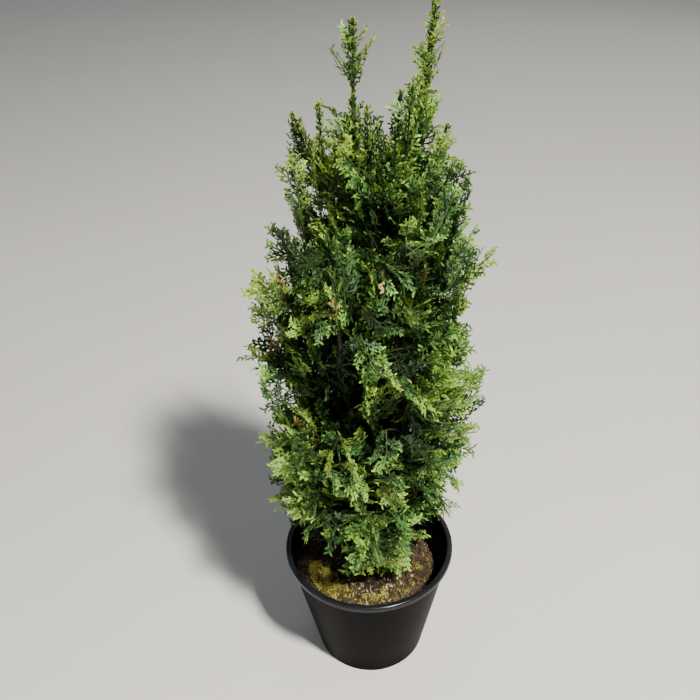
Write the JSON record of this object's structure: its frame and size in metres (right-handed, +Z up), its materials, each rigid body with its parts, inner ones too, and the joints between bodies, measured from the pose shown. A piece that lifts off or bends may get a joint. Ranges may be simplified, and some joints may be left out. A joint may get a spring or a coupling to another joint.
{
  "type": "potted thuja",
  "caption": "Young upright thuja in a round tapered nursery pot: a leaning trunk, a second leader, short boughs and a narrow dense crown of lumpy foliage masses ending in spires.",
  "frame": {"origin": "middle of the pot's flat underside, on the pot's axis", "axes": "+Z up along the pot's axis, -Y towards the side that the picture shows, +X to that view's right"},
  "size_m": [0.2267, 0.1945, 0.7371],
  "materials": {
    "pot_plastic": "semi-matt black, faintly dusty",
    "compost": "matt, crumbly",
    "moss": "matt, velvety",
    "bark": "matt, fibrous",
    "foliage": "satin scale leaves, yellow-green tips over deep green"
  },
  "bodies": {
    "root": {"belly_back_left": "foliage", "belly_back_right": "foliage", "belly_front_left": "foliage", "belly_front_right": "foliage", "belly_left": "foliage", "belly_right": "foliage", "bough_to_belly_front_right": "bark", "bough_to_belly_right": "bark", "bough_to_lower_back_left": "bark", "bough_to_lower_front_left": "bark", "bough_to_middle_back_right": "bark", "bough_to_middle_front_left": "bark", "bough_to_middle_left": "bark", "bough_to_shoot_far_left": "bark", "bough_to_skirt_back_right": "bark", "bough_to_skirt_front": "bark", "bough_to_skirt_left": "bark", "bough_to_skirt_right": "bark", "crest_back_left": "foliage", "crest_back_right": "foliage", "crest_front_left": "foliage", "crest_front_right": "foliage", "crest_left": "foliage", "crest_right": "foliage", "leader": "bark", "lower_back_left": "foliage", "lower_back_right": "foliage", "lower_front_left": "foliage", "lower_front_right": "foliage", "lower_left": "foliage", "lower_right": "foliage", "middle_back_left": "foliage", "middle_back_right": "foliage", "middle_front_left": "foliage", "middle_front_right": "foliage", "middle_left": "foliage", "middle_right": "foliage", "moss_front": "moss", "moss_left": "moss", "moss_right": "moss", "pot": "pot_plastic", "shoot_far_left": "foliage", "shoot_middle": "foliage", "skirt_back_left": "foliage", "skirt_back_right": "foliage", "skirt_front": "foliage", "skirt_front_left": "foliage", "skirt_front_right": "foliage", "skirt_left": "foliage", "skirt_right": "foliage", "soil": "compost", "spire_left_high": "foliage", "spire_left_low": "foliage", "spire_right_high": "foliage", "spire_right_low": "foliage", "trunk": "bark"}
  },
  "joints": []
}
